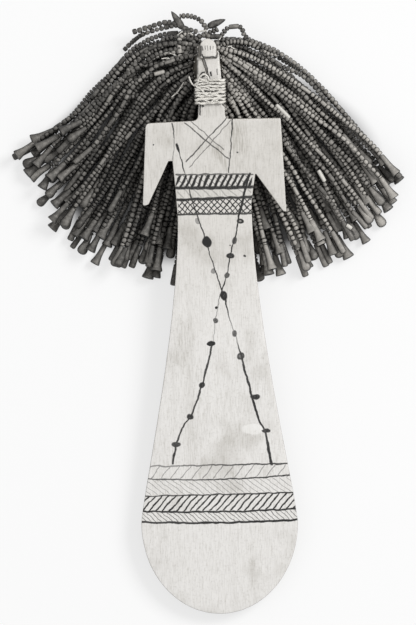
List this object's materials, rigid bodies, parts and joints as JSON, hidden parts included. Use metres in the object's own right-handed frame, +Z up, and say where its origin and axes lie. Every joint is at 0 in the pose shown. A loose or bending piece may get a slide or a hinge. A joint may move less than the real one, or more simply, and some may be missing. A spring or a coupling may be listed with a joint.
{
  "type": "paddle doll",
  "caption": "Flat carved wooden paddle doll with pointed arm stubs and a rounded blade, lying on its hair of strung mud bead strands, with a linen cord wound round the neck.",
  "frame": {"origin": "middle of the ground that the whole doll covers, on the surface it lies on", "axes": "+X to the right of someone looking down at its painted front, +Y along the doll towards the head, +Z up"},
  "size_m": [0.1573, 0.2408, 0.0203],
  "materials": {
    "wood": "smooth dry carved wood, faintly worn, with painted bands",
    "linen": "twisted linen cord and thread",
    "mud": "matt dried mud beads"
  },
  "bodies": {
    "root": {"paddle": "wood", "neck_binding": "linen", "hair_threads": "linen", "strand_left_01": "mud", "strand_left_02": "mud", "strand_left_03": "mud", "strand_left_04": "mud", "strand_left_05": "mud", "strand_left_06": "mud", "strand_left_07": "mud", "strand_left_08": "mud", "strand_left_09": "mud", "strand_left_10": "mud", "strand_left_11": "mud", "strand_left_12": "mud", "strand_left_13": "mud", "strand_left_14": "mud", "strand_left_15": "mud", "strand_left_16": "mud", "strand_left_17": "mud", "strand_left_18": "mud", "strand_left_19": "mud", "strand_left_20": "mud", "strand_left_21": "mud", "strand_left_22": "mud", "strand_left_23": "mud", "strand_left_24": "mud", "strand_left_25": "mud", "strand_left_26": "mud", "strand_left_27": "mud", "strand_right_01": "mud", "strand_right_02": "mud", "strand_right_03": "mud", "strand_right_04": "mud", "strand_right_05": "mud", "strand_right_06": "mud", "strand_right_07": "mud", "strand_right_08": "mud", "strand_right_09": "mud", "strand_right_10": "mud", "strand_right_11": "mud", "strand_right_12": "mud", "strand_right_13": "mud", "strand_right_14": "mud", "strand_right_15": "mud", "strand_right_16": "mud", "strand_right_17": "mud", "strand_right_18": "mud", "strand_right_19": "mud", "strand_right_20": "mud", "strand_right_21": "mud", "strand_right_22": "mud", "strand_right_23": "mud", "strand_right_24": "mud", "strand_right_25": "mud", "strand_right_26": "mud", "strand_right_27": "mud", "crown_strand_left": "mud", "crown_strand_right": "mud", "crown_loop": "mud"}
  },
  "joints": []
}
